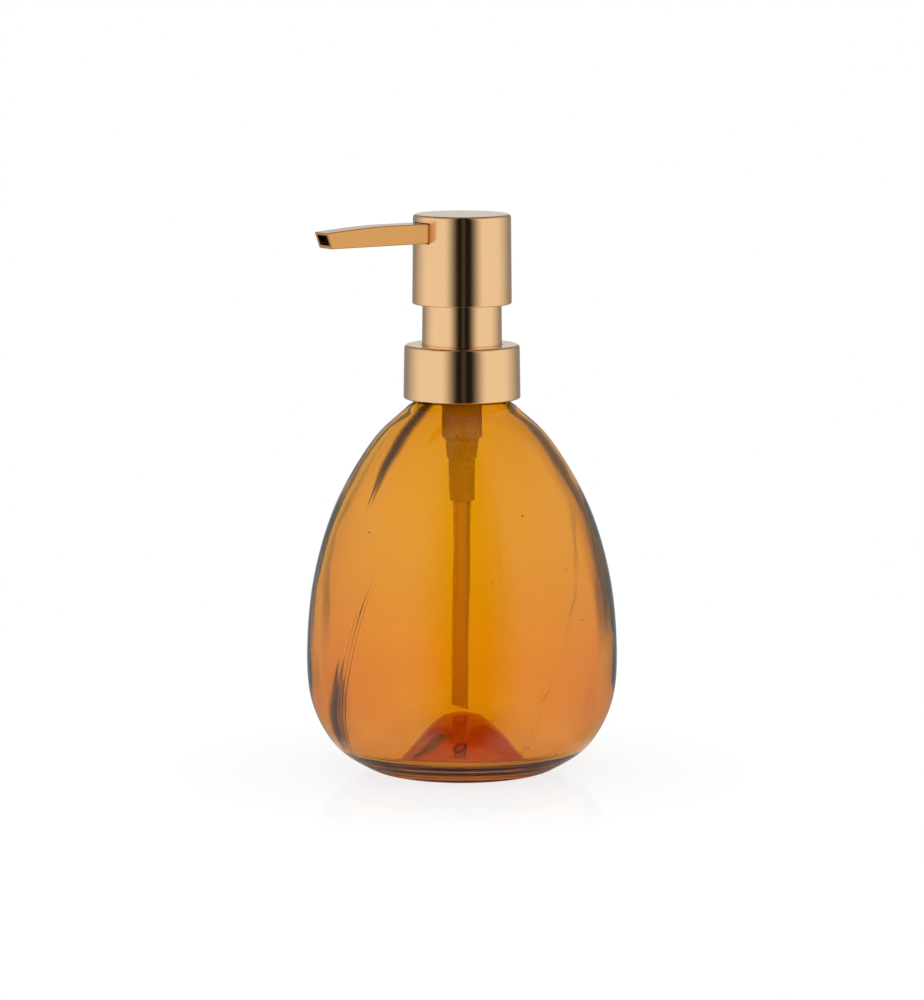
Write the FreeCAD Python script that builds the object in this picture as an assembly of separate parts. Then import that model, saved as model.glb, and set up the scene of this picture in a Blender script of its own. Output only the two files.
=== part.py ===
"""Soap pump dispenser: an egg-shaped glass bottle with a screw-on lotion pump.

Units are millimetres and Z is up. The origin is the centre of the ring that the bottle stands on,
the bottle and the pump share the Z axis, and the spout points along -X. The pump is drawn at rest,
with its head fully up and its closure screwed home.
"""
import FreeCAD
import Part
import math
import os

Vector = FreeCAD.Vector
Z_AXIS = Vector(0, 0, 1)
ORIGIN = Vector(0, 0, 0)

# ---------------------------------------------------------------- driving dimensions
# Glass bottle
body_radius = 44.0
body_height = 106.0          # standing ring to the foot of the neck
wall = 2.6
base_ring_inner = 18.5
base_ring_outer = 22.5
punt_height = 9.0            # hollow under the base
dome_height = 15.0           # rise of the floor at the centre, inside
floor_height = 7.0           # lowest part of the floor, inside
neck_radius = 12.55
neck_wall = 2.45
neck_height = 10.3
rim_round = 0.8
floor_rise = 3.4             # how much higher the floor is where it meets the wall

# Screw thread between the bottle and the closure
lead = 4.23
thread_depth = 1.2
thread_turns = 1.0
thread_base = 2.2
thread_crest = 1.0
thread_start_angle = 50.0
thread_above_foot = 3.1      # middle of the ridge at its lower end
cap_thread_turns = 0.75
cap_thread_base = 1.5
cap_thread_crest = 0.8
cap_thread_depth = 1.15
thread_root_gap = 0.3
thread_flank_gap = 0.15
thread_sink = 0.4            # how deep a ridge's root is sunk in the wall that carries it

# Clearances
running_gap = 0.1
loose_gap = 0.3
press_gap = 0.025
seat_gap = 0.05
stop_gap = 0.5               # head to collar at full press
floor_gap = 0.4              # plunger to the cylinder's floor at full press
ball_gap = 0.35              # round a ball in its chamber
flow_gap = 0.45              # round the foot of the plunger
overlap = 0.2                # how deep a rib is sunk in what carries it

# Roundings of edges
fine_round = 0.2
small_round = 0.3
soft_round = 0.5

# Closure: threaded liner, collar shell and neck sleeve
gasket_thickness = 1.2
flange_thickness = 1.4
liner_top = 1.4
liner_wall = 0.95
liner_recess = 0.7           # foot of the liner above the foot of the collar
shell_top = 1.2
shell_wall = 1.25
shell_draft = 0.25
collar_height = 15.3
collar_edge = 1.0
sleeve_radius = 11.15
sleeve_draft = 0.15
sleeve_wall = 1.0
sleeve_cover = 3.5           # hidden inside the head skirt at rest
sleeve_foot = 1.2
sleeve_foot_height = 0.6
stroke = 11.0

# Pump housing
cylinder_bore = 4.775
cylinder_wall = 0.875
cup_radius = 8.6
cup_wall = 1.2
cup_depth = 3.4
cup_round = 0.8
flange_inset = 0.25          # edge of the flange in from the outside of the neck
valve_bore = 3.3
cone_top_radius = 4.65
cone_bottom_radius = 4.05
cone_height = 5.0
nipple_radius = 3.7
nipple_draft = 0.15
nipple_length = 11.6
socket_depth = 9.0
vent_radius = 0.6
seat_thickness = 1.0         # wall between the dip tube's socket and the valve seat
wide_end_depth = 1.1         # how far the full width goes on below the cylinder's floor

# Valves
inlet_ball_radius = 1.75
inlet_ball_lift = 1.2
inlet_passage = 1.1
outlet_ball_radius = 1.3
outlet_ball_lift = 1.2
outlet_passage = 0.7
cage_height = 1.9
cage_wall = 0.75
cage_shelf = 0.6             # shelf above the resting ball
seat_touch = 0.02            # how far a ball rests above the line where it seals

# Dip tube
tube_radius = 2.525
tube_bore = 1.7
tube_above_floor = 0.7
tube_drift = 0.8             # sideways set at its lower end
tube_cut_angle = 20.0

# Plunger
stem_radius = 3.2
stem_bore = 1.8
seal_height = 5.9
seal_lip = 0.8
seal_waist = 0.5
core_flange = 1.1
core_spigot = 2.4
core_spigot_length = 4.0
shoulder_radius = 4.3
shoulder_height = 0.9
rib_width = 0.9
stop_height = 1.2            # the bar in the stem that stops the outlet ball
outlet_seat_depth = 1.2
lip_edge = 0.1
lip_width = 0.25

# Spring
spring_radius = 6.0
wire_radius = 0.4
spring_turns = 6.8
closed_turns = 0.9           # at each end, with the coils touching
coil_gap = 0.04
cup_washer_radius = 7.2
cup_washer_height = 1.1
cup_washer_lip = 0.9

# Retainer
retainer_cap = 1.25
retainer_cap_radius = 9.6
chimney_radius = 4.6
chimney_height = 2.3
relief_wall = 1.1            # of the plug, outside the ring-shaped relief under the retainer
relief_gap = 0.6             # from the stem's shoulder to the relief

# Head
head_radius = 13.8
head_draft = 0.25
head_height = 25.3
head_top = 1.4
head_wall = 1.35
head_edge = 1.0
core_tube_radius = 4.8
core_tube_below_plate = 13.2
core_plate = 1.2
core_rib = 1.0
spring_seat_radius = 7.4
spring_seat_height = 1.0
spring_seat_rise = 5.2       # above the foot of the core's tube
duct_above_plate = 3.9
stem_depth = 0.6             # top of the stem below the top of the plate
gusset_height = 1.5          # least height, at its outer end
boss_roof = 1.0              # the stem's bore goes this far above the duct's axis

# Spout
spout_reach = 46.3
spout_width_root = 7.4
spout_width_tip = 7.0
spout_height = 5.6
spout_below_top = 2.1        # top of the spout below the top of the head
spout_droop = 1.25           # how far its top edge falls towards the tip
spout_sag = 0.15             # how far its underside falls towards the tip
spout_edge = 0.4
mouth_width = 5.2
mouth_height = 2.9
mouth_cut_angle = 20.0
liner_duct_wall = 0.6
liner_setback = 3.2
duct_end = 2.4               # inner end of the liner, from the axis
duct_rise = 2.2              # axis of the duct above the underside of the spout
window_gap = 0.15

# ---------------------------------------------------------------- levels, from the bottom up
bore_radius = neck_radius - neck_wall
flange_radius = neck_radius - flange_inset
cylinder_radius = cylinder_bore + cylinder_wall

neck_foot_z = body_height
cavity_shoulder_z = neck_foot_z - 0.5
rim_z = neck_foot_z + neck_height
flange_z = rim_z + gasket_thickness
liner_under_z = flange_z + flange_thickness
shell_under_z = liner_under_z + liner_top
collar_top_z = shell_under_z + shell_top
collar_bottom_z = collar_top_z - collar_height
liner_bottom_z = collar_bottom_z + liner_recess
head_bottom_z = collar_top_z + stop_gap + stroke
head_top_z = head_bottom_z + head_height
head_ceiling_z = head_top_z - head_top
sleeve_top_z = head_bottom_z + sleeve_cover

retainer_under_z = liner_under_z - cup_depth + seat_gap
shoulder_top_z = retainer_under_z - seat_gap
seal_top_z = shoulder_top_z - shoulder_height - running_gap
seal_bottom_z = seal_top_z - seal_height
core_flange_top_z = seal_bottom_z - running_gap
cylinder_floor_z = core_flange_top_z - core_flange - stroke - floor_gap

bore_cone = cylinder_bore - valve_bore
wide_end_z = cylinder_floor_z - wide_end_depth
wide_chamfer = cylinder_radius - cone_top_radius
cone_top_z = wide_end_z - wide_chamfer
cone_bottom_z = cone_top_z - cone_height
nipple_top_z = cone_bottom_z - (cone_bottom_radius - nipple_radius)
nipple_end_z = nipple_top_z - nipple_length
socket_top_z = nipple_end_z + socket_depth
seat_bottom_z = socket_top_z + seat_thickness
inlet_ball_z = seat_bottom_z - inlet_passage + inlet_ball_radius * math.sqrt(2)
cage_shelf_z = inlet_ball_z + inlet_ball_radius + cage_shelf
cage_bar_z = inlet_ball_z + inlet_ball_radius + inlet_ball_lift + running_gap + seat_gap

retainer_cap_z = shell_under_z + running_gap + seat_gap
retainer_top_z = retainer_cap_z + retainer_cap
chimney_top_z = retainer_top_z + chimney_height

spout_top_z = head_top_z - spout_below_top
spout_under_z = spout_top_z - spout_height
duct_z = spout_under_z + duct_rise
core_plate_z = duct_z - duct_above_plate
core_tube_bottom_z = core_plate_z - core_tube_below_plate
spring_seat_z = core_tube_bottom_z + spring_seat_rise
cup_washer_top_z = spring_seat_z - running_gap
spring_top_z = cup_washer_top_z - cup_washer_height
stem_top_z = core_plate_z + core_plate - stem_depth

spigot_top_z = core_flange_top_z + core_spigot_length
outlet_seat_z = spigot_top_z - outlet_seat_depth
outlet_ball_z = outlet_seat_z - outlet_passage + outlet_ball_radius * math.sqrt(2)
stem_rib_z = outlet_ball_z + outlet_ball_radius + outlet_ball_lift + running_gap

liner_bore = neck_radius + thread_depth + thread_root_gap
liner_radius = liner_bore + liner_wall
shell_bore = liner_radius + seat_gap
collar_radius = shell_bore + shell_wall
liner_hole = cup_radius - cup_wall + loose_gap + seat_gap
plug_radius = cup_radius - cup_wall - press_gap
head_bore = head_radius - head_wall


# ---------------------------------------------------------------- helpers
def point(r, z):
    """A point of a lathe outline, in the XZ plane."""
    return Vector(r, 0, z)


def rounded_edges(corners):
    """Edges of a closed outline. A corner is (r, z) or (r, z, radius of its rounding)."""
    points = [point(c[0], c[1]) for c in corners]
    radii = [c[2] if len(c) > 2 else 0.0 for c in corners]
    count = len(points)
    starts, ends = [], []
    for i in range(count):
        here = points[i]
        back = (points[i - 1] - here).normalize()
        ahead = (points[(i + 1) % count] - here).normalize()
        half = back.getAngle(ahead) / 2
        trim = radii[i] / math.tan(half) if radii[i] else 0.0
        starts.append(here + back * trim)
        ends.append(here + ahead * trim)
    edges = []
    for i in range(count):
        if radii[i]:
            here = points[i]
            middle = (starts[i] - here).normalize() + (ends[i] - here).normalize()
            half = (starts[i] - here).getAngle(ends[i] - here) / 2
            centre = here + middle.normalize() * (radii[i] / math.sin(half))
            nearest = centre + (here - centre).normalize() * radii[i]
            edges.append(Part.Arc(starts[i], nearest, ends[i]).toShape())
        following = starts[(i + 1) % count]
        if (following - ends[i]).Length > 1e-7:
            edges.append(Part.LineSegment(ends[i], following).toShape())
    return edges


def lathe_edges(edges):
    """A solid turned about Z from the closed outline that the edges make."""
    face = Part.Face(Part.Wire(Part.__sortEdges__(edges)))
    return face.revolve(ORIGIN, Z_AXIS, 360)


def lathe(corners):
    """A solid turned about Z from an outline of corners (r, z) or (r, z, rounding)."""
    return lathe_edges(rounded_edges(corners))


def cylinder(radius, bottom, top):
    return Part.makeCylinder(radius, top - bottom, Vector(0, 0, bottom))


def block(x_low, x_high, width, z_low, z_high):
    """A box centred on Y."""
    return Part.makeBox(x_high - x_low, width, z_high - z_low, Vector(x_low, -width / 2, z_low))


def helical_ridge(root, crest, base_width, crest_width, turns, start_z):
    """A screw thread's ridge, from a root radius sunk a little in its wall to its crest."""
    profile = Part.makePolygon([
        point(root, start_z - base_width / 2),
        point(crest, start_z - crest_width / 2),
        point(crest, start_z + crest_width / 2),
        point(root, start_z + base_width / 2),
        point(root, start_z - base_width / 2),
    ])
    path = Part.makeHelix(lead, lead * turns, neck_radius)
    path.translate(Vector(0, 0, start_z))
    return Part.Wire(path).makePipeShell([profile], True, True)


def export(shape, name):
    """Writes one sub-part and stops if it isn't one valid solid."""
    clean = shape.removeSplitter()
    if not clean.isValid():
        clean = shape
    if not clean.isValid() or len(clean.Solids) != 1:
        raise ValueError(name + " is not one valid solid")
    clean.Solids[0].exportStep("parts/" + name + ".step")
    print(name, round(clean.Volume, 1), "mm3", clean.BoundBox)


# ---------------------------------------------------------------- bottle
# The egg: shares of the largest radius and of the height to the foot of the neck.
EGG = [(0.625, 0.014), (0.833, 0.075), (0.973, 0.189), (1.0, 0.337), (0.952, 0.528),
       (0.814, 0.717), (0.577, 0.887), (0.348, 0.981)]


def egg_points():
    return [point(share_r * body_radius, share_z * body_height) for share_r, share_z in EGG]


def egg_curve():
    """The outside of the bottle, from its standing ring to the foot of its neck."""
    curve = Part.BSplineCurve()
    through = [point(base_ring_outer, 0)] + egg_points() + [point(neck_radius, neck_foot_z)]
    curve.interpolate(through)
    return curve


def inner_curve(outside):
    """The inside, one wall thickness in from the egg, then over the heel and up the dome."""
    through = [point(bore_radius, cavity_shoulder_z)]
    for here in reversed(egg_points()[2:]):
        along = outside.tangent(outside.parameter(here))[0]
        inward = Vector(-along.z, 0, along.x).normalize()
        if inward.x > 0:
            inward = inward * -1
        through.append(here + inward * wall)
    through.append(point(0.78 * body_radius, floor_height + floor_rise))
    through.append(point(0.62 * body_radius, floor_height))
    through.append(point(0.466 * body_radius, floor_height + 0.06 * dome_height))
    through.append(point(0.37 * body_radius, 0.62 * floor_height + 0.38 * dome_height))
    through.append(point(0.25 * body_radius, 0.25 * floor_height + 0.75 * dome_height))
    through.append(point(0.12 * body_radius, 0.05 * floor_height + 0.95 * dome_height))
    through.append(point(0, dome_height))
    curve = Part.BSplineCurve()
    curve.interpolate(through)
    return curve


def line(start, end):
    return Part.LineSegment(start, end).toShape()


def glass_bottle():
    """One piece of glass: the egg with a punt under it, its cavity, and the threaded neck."""
    outside = egg_curve()
    cavity_top = rim_z + 1
    punt = Part.Arc(point(0, punt_height), point(0.62 * base_ring_inner, 0.66 * punt_height),
                    point(base_ring_inner, 0))
    egg = lathe_edges([
        outside.toShape(),
        punt.toShape(),
        line(point(base_ring_inner, 0), point(base_ring_outer, 0)),
        line(point(0, punt_height), point(0, neck_foot_z)),
        line(point(0, neck_foot_z), point(neck_radius, neck_foot_z)),
    ])
    cavity = lathe_edges([
        inner_curve(outside).toShape(),
        line(point(0, dome_height), point(0, cavity_top)),
        line(point(0, cavity_top), point(bore_radius, cavity_top)),
        line(point(bore_radius, cavity_top), point(bore_radius, cavity_shoulder_z)),
    ])
    neck = lathe([
        (bore_radius, neck_foot_z),
        (neck_radius, neck_foot_z),
        (neck_radius, rim_z, rim_round),
        (bore_radius, rim_z, rim_round),
    ])
    ridge = helical_ridge(neck_radius - thread_sink, neck_radius + thread_depth, thread_base, thread_crest,
                          thread_turns, neck_foot_z + thread_above_foot)
    ridge.rotate(ORIGIN, Z_AXIS, thread_start_angle)
    return egg.cut(cavity).fuse(neck.fuse(ridge))


# ---------------------------------------------------------------- closure
def neck_gasket():
    """A soft ring between the rim of the glass and the flange of the pump."""
    return lathe([
        (bore_radius + 2 * running_gap, rim_z),
        (flange_radius, rim_z, fine_round),
        (flange_radius, flange_z, fine_round),
        (bore_radius + 2 * running_gap, flange_z),
    ])


def thread_offset():
    """How far the closure's ridge lies below the ridge on the glass, screwed home."""
    root = neck_radius - thread_sink
    crest = neck_radius + thread_depth
    cap_crest = liner_bore - cap_thread_depth
    share = (cap_crest - root) / (crest - root)
    glass_half = (thread_base + (thread_crest - thread_base) * share) / 2
    return glass_half + cap_thread_crest / 2 + thread_flank_gap


def closure_liner():
    """The threaded cap, hidden in the collar. The pump's neck passes through its top."""
    cap = lathe([
        (liner_bore, liner_bottom_z),
        (liner_radius, liner_bottom_z, small_round),
        (liner_radius, shell_under_z, soft_round),
        (liner_hole, shell_under_z),
        (liner_hole, liner_under_z),
        (liner_bore, liner_under_z),
    ])
    start = neck_foot_z + thread_above_foot - thread_offset()
    ridge = helical_ridge(liner_bore + thread_sink, liner_bore - cap_thread_depth, cap_thread_base,
                          cap_thread_crest, cap_thread_turns, start)
    ridge.rotate(ORIGIN, Z_AXIS, thread_start_angle)
    return cap.fuse(ridge)


def collar_shell():
    """The metallised cover of the closure, rebated underneath for the foot of the sleeve."""
    hole = sleeve_radius + sleeve_draft + running_gap + seat_gap
    rebate = sleeve_radius + sleeve_draft + sleeve_foot + running_gap
    rebate_z = shell_under_z + sleeve_foot_height + running_gap
    return lathe([
        (shell_bore, collar_bottom_z, small_round),
        (collar_radius + shell_draft, collar_bottom_z, collar_edge * 0.6),
        (collar_radius, collar_top_z, collar_edge),
        (hole, collar_top_z, fine_round),
        (hole, rebate_z),
        (rebate, rebate_z),
        (rebate, shell_under_z + seat_gap),
        (shell_bore, shell_under_z + seat_gap),
    ])


def neck_sleeve():
    """The tall sleeve between collar and head. It hides the spring and guides the skirt."""
    foot_z = shell_under_z + seat_gap
    foot_radius = sleeve_radius + sleeve_draft + sleeve_foot
    bore = sleeve_radius - sleeve_wall
    return lathe([
        (bore, foot_z),
        (foot_radius, foot_z),
        (foot_radius, foot_z + sleeve_foot_height),
        (sleeve_radius + sleeve_draft, foot_z + sleeve_foot_height),
        (sleeve_radius, sleeve_top_z, small_round),
        (bore, sleeve_top_z, small_round),
    ])


# ---------------------------------------------------------------- pump body
def pump_housing():
    """Flange, cup, cylinder, ball seat and the nipple that takes the dip tube."""
    cup_bottom_z = liner_under_z - cup_depth - cup_wall
    cup_bore = cup_radius - cup_wall
    ball_bore = inlet_ball_radius + ball_gap
    seat_top_z = seat_bottom_z + ball_bore - inlet_passage
    socket = tube_radius + press_gap
    body = lathe([
        (cylinder_bore, liner_under_z - cup_depth),
        (cup_bore, liner_under_z - cup_depth),
        (cup_bore, liner_under_z, fine_round),
        (flange_radius, liner_under_z, small_round),
        (flange_radius, flange_z, small_round),
        (cup_radius, flange_z, small_round),
        (cup_radius, cup_bottom_z, cup_round),
        (cylinder_radius, cup_bottom_z, soft_round),
        (cylinder_radius, wide_end_z),
        (cone_top_radius, cone_top_z),
        (cone_bottom_radius, cone_bottom_z),
        (nipple_radius, nipple_top_z),
        (nipple_radius - nipple_draft, nipple_end_z, fine_round),
        (socket, nipple_end_z),
        (socket, socket_top_z),
        (inlet_passage, socket_top_z),
        (inlet_passage, seat_bottom_z),
        (ball_bore, seat_top_z),
        (ball_bore, cage_shelf_z),
        (valve_bore, cage_shelf_z),
        (valve_bore, cylinder_floor_z - bore_cone),
        (cylinder_bore, cylinder_floor_z),
    ])
    vent_z = (seal_top_z + seal_bottom_z) / 2
    vent = Part.makeCylinder(vent_radius, cylinder_radius + 1, Vector(0, 0, vent_z), Vector(0, 1, 0))
    return body.cut(vent)


def retainer():
    """The snap-in cap of the pump body, with a chimney that guides the stem."""
    bore = stem_radius + running_gap
    body = lathe([
        (bore, retainer_under_z),
        (plug_radius, retainer_under_z, fine_round),
        (plug_radius, retainer_cap_z),
        (retainer_cap_radius, retainer_cap_z),
        (retainer_cap_radius, retainer_top_z, small_round),
        (chimney_radius, retainer_top_z, small_round),
        (chimney_radius, chimney_top_z, small_round),
        (bore, chimney_top_z, small_round),
    ])
    relief_inner = shoulder_radius + relief_gap
    relief_outer = plug_radius - relief_wall
    relief_top_z = retainer_cap_z - small_round
    relief = lathe([
        (relief_inner, retainer_under_z - 1),
        (relief_outer, retainer_under_z - 1),
        (relief_outer, relief_top_z),
        (relief_inner, relief_top_z),
    ])
    return body.cut(relief)


def valve_cage():
    """A ring with a cross that limits how far the inlet ball lifts."""
    radius = valve_bore - press_gap
    top_z = cage_shelf_z + cage_height
    middle = cylinder(radius - cage_wall, cage_shelf_z - 1, top_z + 1)
    ring = cylinder(radius, cage_shelf_z, top_z).cut(middle)
    reach = radius - cage_wall / 2
    cross = block(-reach, reach, rib_width, cage_bar_z, top_z)
    crossed = cross.copy()
    crossed.rotate(ORIGIN, Z_AXIS, 90)
    return ring.fuse([cross, crossed])


def dip_tube():
    """A soft tube in the nipple's socket, drifting a little to the side on its way down."""
    top = Vector(0, 0, socket_top_z - seat_gap)
    bend = Vector(0, 0, nipple_end_z - 1)
    end_z = dome_height + tube_above_floor
    straight = Part.LineSegment(top, bend)
    drift = Part.BezierCurve()
    drift.setPoles([bend, Vector(0, 0, 0.6 * bend.z + 0.4 * end_z),
                    Vector(-tube_drift, 0, end_z - 3)])
    path = Part.Wire([straight.toShape(), drift.toShape()])

    def swept(radius):
        circle = Part.Wire(Part.makeCircle(radius, top))
        return path.makePipeShell([circle], True, False)

    tube = swept(tube_radius).cut(swept(tube_bore))
    knife = Part.makeBox(40, 40, 20, Vector(-20, -20, -20))
    knife.rotate(ORIGIN, Vector(0, 1, 0), tube_cut_angle)
    rise = tube_radius * math.tan(math.radians(tube_cut_angle))
    knife.translate(Vector(-tube_drift, 0, end_z + rise))
    return tube.cut(knife)


def return_spring():
    """A compression spring with a closed coil at each end, standing on the retainer."""
    low = retainer_top_z + wire_radius + seat_gap
    rise = spring_top_z - wire_radius - seat_gap - low
    closed_pitch = 2 * wire_radius + coil_gap
    open_pitch = (rise - 2 * closed_turns * closed_pitch) / (spring_turns - 2 * closed_turns)
    steps = 16
    through = []
    height = low
    for i in range(round(spring_turns * steps) + 1):
        angle = 2 * math.pi * i / steps
        x = spring_radius * math.cos(angle)
        y = spring_radius * math.sin(angle)
        through.append(Vector(x, y, height))
        turn = (i + 0.5) / steps
        closed = min(turn, spring_turns - turn) < closed_turns
        height += (closed_pitch if closed else open_pitch) / steps
    coil = Part.BSplineCurve()
    coil.interpolate(through)
    start = through[0]
    section = Part.Wire(Part.makeCircle(wire_radius, start, coil.tangent(coil.FirstParameter)[0]))
    return Part.Wire(coil.toShape()).makePipeShell([section], True, True)


# ---------------------------------------------------------------- valves
def ball(radius, centre_z):
    return Part.makeSphere(radius, Vector(0, 0, centre_z + seat_touch))


# ---------------------------------------------------------------- plunger
def cup_washer():
    """A cupped ring on top of the spring. The head turns on it, so the spring isn't wound."""
    inner = core_tube_radius + loose_gap
    lip = spring_radius + wire_radius + running_gap + seat_gap
    lip_z = spring_top_z - cup_washer_lip
    return lathe([
        (inner, spring_top_z),
        (lip, spring_top_z),
        (lip, lip_z),
        (cup_washer_radius, lip_z),
        (cup_washer_radius, cup_washer_top_z, small_round),
        (inner, cup_washer_top_z),
    ])


def piston_seal():
    """The soft piston: a sleeve on the stem with a lip at each end wiping the cylinder."""
    bore = stem_radius + running_gap
    lip = cylinder_bore - seat_gap
    waist = lip - seal_waist
    groove = (bore + waist) / 2
    groove_end = groove + 2 * lip_edge
    groove_depth = seal_lip + 3 * lip_edge
    return lathe([
        (bore, seal_bottom_z),
        (groove, seal_bottom_z),
        (groove_end, seal_bottom_z + groove_depth),
        (lip - lip_width, seal_bottom_z),
        (lip, seal_bottom_z + lip_edge),
        (lip, seal_bottom_z + seal_lip),
        (waist, seal_bottom_z + 2 * seal_lip),
        (waist, seal_top_z - 2 * seal_lip),
        (lip, seal_top_z - seal_lip),
        (lip, seal_top_z - lip_edge),
        (lip - lip_width, seal_top_z),
        (groove_end, seal_top_z - groove_depth),
        (groove, seal_top_z),
        (bore, seal_top_z),
    ])


def plunger_core():
    """The foot of the stem. It carries the piston and makes the seat of the outlet ball."""
    mouth = outlet_passage + spigot_top_z - outlet_seat_z
    flange = cylinder_bore - flow_gap
    return lathe([
        (outlet_passage, core_flange_top_z - core_flange),
        (flange, core_flange_top_z - core_flange, small_round),
        (flange, core_flange_top_z),
        (core_spigot, core_flange_top_z),
        (core_spigot, spigot_top_z),
        (mouth, spigot_top_z),
        (outlet_passage, outlet_seat_z),
    ])


def stem():
    """The tube from the piston to the head, with a shoulder that stops it under the retainer."""
    foot_z = core_flange_top_z + seat_gap
    socket = core_spigot + press_gap
    tube = lathe([
        (socket, foot_z),
        (stem_radius, foot_z),
        (stem_radius, shoulder_top_z - shoulder_height),
        (shoulder_radius, shoulder_top_z - shoulder_height),
        (shoulder_radius, shoulder_top_z, fine_round),
        (stem_radius, shoulder_top_z),
        (stem_radius, stem_top_z, small_round),
        (stem_bore, stem_top_z),
        (stem_bore, spigot_top_z + seat_gap),
        (socket, spigot_top_z + seat_gap),
    ])
    reach = stem_bore + 2 * overlap
    stop = block(-reach, reach, rib_width, stem_rib_z, stem_rib_z + stop_height)
    return tube.fuse(stop)


# ---------------------------------------------------------------- head
def head_shell():
    """The metallised button: a cup with a window in its side where the spout comes out."""
    bore_foot = head_bore + head_draft
    cup = lathe([
        (0, head_ceiling_z),
        (head_bore, head_ceiling_z, soft_round),
        (bore_foot, head_bottom_z, small_round),
        (head_radius + head_draft, head_bottom_z, soft_round),
        (head_radius, head_top_z, head_edge),
        (0, head_top_z),
    ])
    window = block(-head_radius - 5, -head_bore + 3, spout_width_root + 2 * window_gap,
                   spout_under_z - window_gap, spout_top_z + window_gap)
    return cup.cut(window)


def duct(x_low, x_high, width, height):
    """A straight bar along the spout, centred on the duct that runs through it."""
    return block(x_low, x_high, width, duct_z - height / 2, duct_z + height / 2)


def head_core():
    """The moulding in the head: socket for the stem, spring seat, plate, ribs and duct boss."""
    boss_top_z = head_ceiling_z - seat_gap
    plate_top_z = core_plate_z + core_plate
    socket = stem_radius + press_gap
    plate_radius = head_bore - seat_gap
    body = lathe([
        (socket, core_tube_bottom_z),
        (core_tube_radius, core_tube_bottom_z, small_round),
        (core_tube_radius, spring_seat_z),
        (spring_seat_radius, spring_seat_z),
        (spring_seat_radius, spring_seat_z + spring_seat_height),
        (core_tube_radius, spring_seat_z + spring_seat_height),
        (core_tube_radius, core_plate_z),
        (plate_radius, core_plate_z, fine_round),
        (plate_radius, plate_top_z, fine_round),
        (core_tube_radius, plate_top_z),
        (core_tube_radius, boss_top_z),
        (0, boss_top_z),
        (0, duct_z + boss_roof),
        (stem_bore, duct_z + boss_roof),
        (stem_bore, stem_top_z + seat_gap),
        (socket, stem_top_z + seat_gap),
    ])
    root = core_tube_radius - soft_round
    ribs = []
    for angle in (0, 90, 270):
        rib = block(root, plate_radius - soft_round, core_rib, plate_top_z - overlap, boss_top_z)
        rib.rotate(ORIGIN, Z_AXIS, angle)
        ribs.append(rib)
    reach = sleeve_radius - sleeve_wall - 2 * loose_gap
    for angle in (45, 135, 225, 315):
        gusset = block(root, reach, core_rib,
                       spring_seat_z + spring_seat_height - overlap, core_plate_z + overlap)
        hollow = Part.makeCylinder(reach - core_tube_radius, 3 * core_rib,
                                   Vector(reach + soft_round, -1.5 * core_rib,
                                          spring_seat_z + gusset_height),
                                   Vector(0, 1, 0))
        gusset = gusset.cut(hollow)
        gusset.rotate(ORIGIN, Z_AXIS, angle)
        ribs.append(gusset)
    cradle = block(-plate_radius + soft_round, -root, 0.7 * spout_width_root,
                   plate_top_z - overlap, spout_under_z - seat_gap)
    body = body.fuse(ribs + [cradle])
    socket_cut = duct(-core_tube_radius - 1, -duct_end, mouth_width, mouth_height)
    passage = duct(-duct_end - overlap, 0, 2 * (stem_bore - seat_gap),
                   mouth_height - 2 * (liner_duct_wall + seat_gap))
    return body.cut(socket_cut.fuse(passage))


def spout():
    """The metallised spout: level below, drooping above, undercut and open at its tip."""
    root_x = -core_tube_radius - 2 * running_gap
    tip_top_z = spout_top_z - spout_droop
    tip_under_z = spout_under_z - spout_sag
    setback = (tip_top_z - tip_under_z) * math.tan(math.radians(mouth_cut_angle))
    bend_x = -0.55 * spout_reach
    fall = Part.BezierCurve()
    fall.setPoles([point(bend_x, spout_top_z), point(0.45 * (bend_x - spout_reach), spout_top_z),
                   point(-spout_reach, tip_top_z)])
    side = Part.Face(Part.Wire(Part.__sortEdges__([
        line(point(root_x, spout_top_z), point(bend_x, spout_top_z)),
        fall.toShape(),
        line(point(-spout_reach, tip_top_z), point(-spout_reach + setback, tip_under_z)),
        line(point(-spout_reach + setback, tip_under_z), point(-0.5 * spout_reach, spout_under_z)),
        line(point(-0.5 * spout_reach, spout_under_z), point(root_x, spout_under_z)),
        line(point(root_x, spout_under_z), point(root_x, spout_top_z)),
    ])))
    side.translate(Vector(0, -spout_width_root, 0))
    bar = side.extrude(Vector(0, 2 * spout_width_root, 0))
    half_root = spout_width_root / 2
    half_tip = spout_width_tip / 2
    plan = Part.Face(Part.makePolygon([
        Vector(0, -half_root, 0), Vector(-head_radius, -half_root, 0),
        Vector(-spout_reach - 1, -half_tip, 0), Vector(-spout_reach - 1, half_tip, 0),
        Vector(-head_radius, half_root, 0), Vector(0, half_root, 0), Vector(0, -half_root, 0),
    ]))
    plan.translate(Vector(0, 0, spout_under_z - 5))
    bar = bar.common(plan.extrude(Vector(0, 0, spout_height + 10)))
    long_edges = [edge for edge in bar.Edges if edge.BoundBox.XLength > 5]
    bar = bar.makeFillet(spout_edge, long_edges)
    return bar.cut(duct(-spout_reach - 1, 0, mouth_width, mouth_height))


def nozzle_liner():
    """The plain duct inside the spout, plugged into the boss of the head core."""
    outer_width = mouth_width - 2 * seat_gap
    outer_height = mouth_height - 2 * seat_gap
    end_x = -spout_reach + liner_setback
    tube = duct(end_x, -duct_end - seat_gap, outer_width, outer_height)
    return tube.cut(duct(end_x - 1, 0, outer_width - 2 * liner_duct_wall,
                         outer_height - 2 * liner_duct_wall))


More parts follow.
